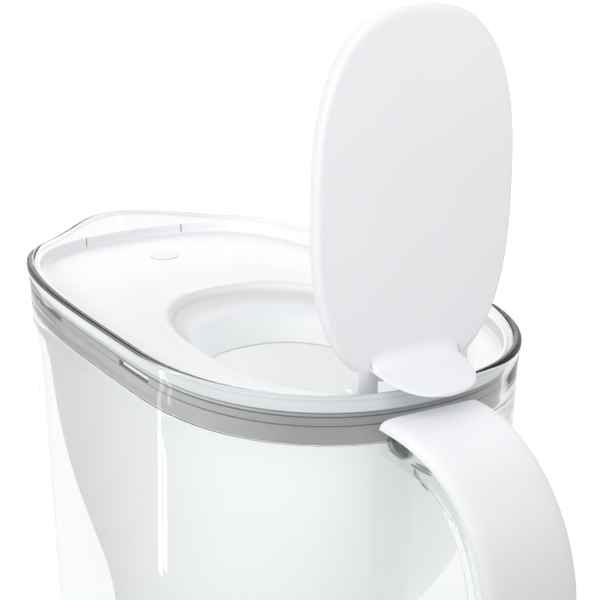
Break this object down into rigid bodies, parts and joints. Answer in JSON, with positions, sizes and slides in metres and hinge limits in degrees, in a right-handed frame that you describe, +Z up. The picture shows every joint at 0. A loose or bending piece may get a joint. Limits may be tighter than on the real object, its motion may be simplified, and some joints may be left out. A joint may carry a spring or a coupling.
{
  "type": "water filter pitcher with flip lid",
  "caption": "Clear pitcher with a pouring beak, white grip handle, lift-out funnel with filter cartridge, and a recessed lid whose oval flap flips up by a thumb tab.",
  "frame": {"origin": "on the underside of the jug, under the middle of the rim's length and width", "axes": "+X towards the handle, -X towards the beak, +Z up"},
  "size_m": [0.2373, 0.1092, 0.3499],
  "materials": {
    "jug_clear": "clear glossy moulded plastic",
    "frame_clear": "clear glossy moulded plastic",
    "grip_white": "satin",
    "funnel_frosted": "frosted translucent",
    "lid_white": "satin",
    "flap_white": "satin",
    "button_white": "translucent",
    "housing_grey": "moulded",
    "silicone_dark": "matt",
    "board_green": "lacquered",
    "switch_black": "moulded",
    "led_white": "clear",
    "steel_cell": "satin",
    "brass_clip": "rolled",
    "steel_screws": "plated",
    "cartridge_white": "moulded",
    "silicone_grey": "matt",
    "media_dark": "granular",
    "screen_grey": "woven"
  },
  "bodies": {
    "jug": {"jug": "jug_clear", "handle_frame": "frame_clear", "handle_cover": "grip_white"},
    "funnel": {"funnel": "funnel_frosted"},
    "lid": {"lid_deck": "lid_white", "indicator_housing": "housing_grey", "key_dome": "silicone_dark", "circuit_board": "board_green", "tact_switch": "switch_black", "led": "led_white", "coin_cell": "steel_cell", "cell_clip": "brass_clip", "housing_cover": "housing_grey", "housing_seal": "silicone_dark", "housing_screws": "steel_screws"},
    "flap": {"flap": "flap_white"},
    "button": {"indicator_button": "button_white"},
    "cartridge": {"cartridge_shell": "cartridge_white", "cartridge_cap": "cartridge_white", "cartridge_seal": "silicone_grey", "media_bed": "media_dark", "upper_screen": "screen_grey", "lower_screen": "screen_grey"}
  },
  "joints": [
    {"name": "funnel_lift", "type": "slide", "parent": "jug", "child": "funnel", "axis": [0, 0, 1], "range_m": [0, 0.22]},
    {"name": "lid_lift", "type": "slide", "parent": "funnel", "child": "lid", "axis": [0, 0, 1], "range_m": [0, 0.03]},
    {"name": "cartridge_lift", "type": "slide", "parent": "funnel", "child": "cartridge", "axis": [0, 0, 1], "range_m": [0, 0.068]},
    {"name": "flap_hinge", "type": "hinge", "parent": "lid", "child": "flap", "pos_m": [0.0848, 0, 0.2508], "axis": [0, -1, 0], "range_deg": [0, 90]},
    {"name": "button_press", "type": "slide", "parent": "lid", "child": "button", "axis": [0, 0, -1], "range_m": [0, 0.0008], "stiffness_N_per_m": 1500, "springref_m": -0.0002}
  ]
}
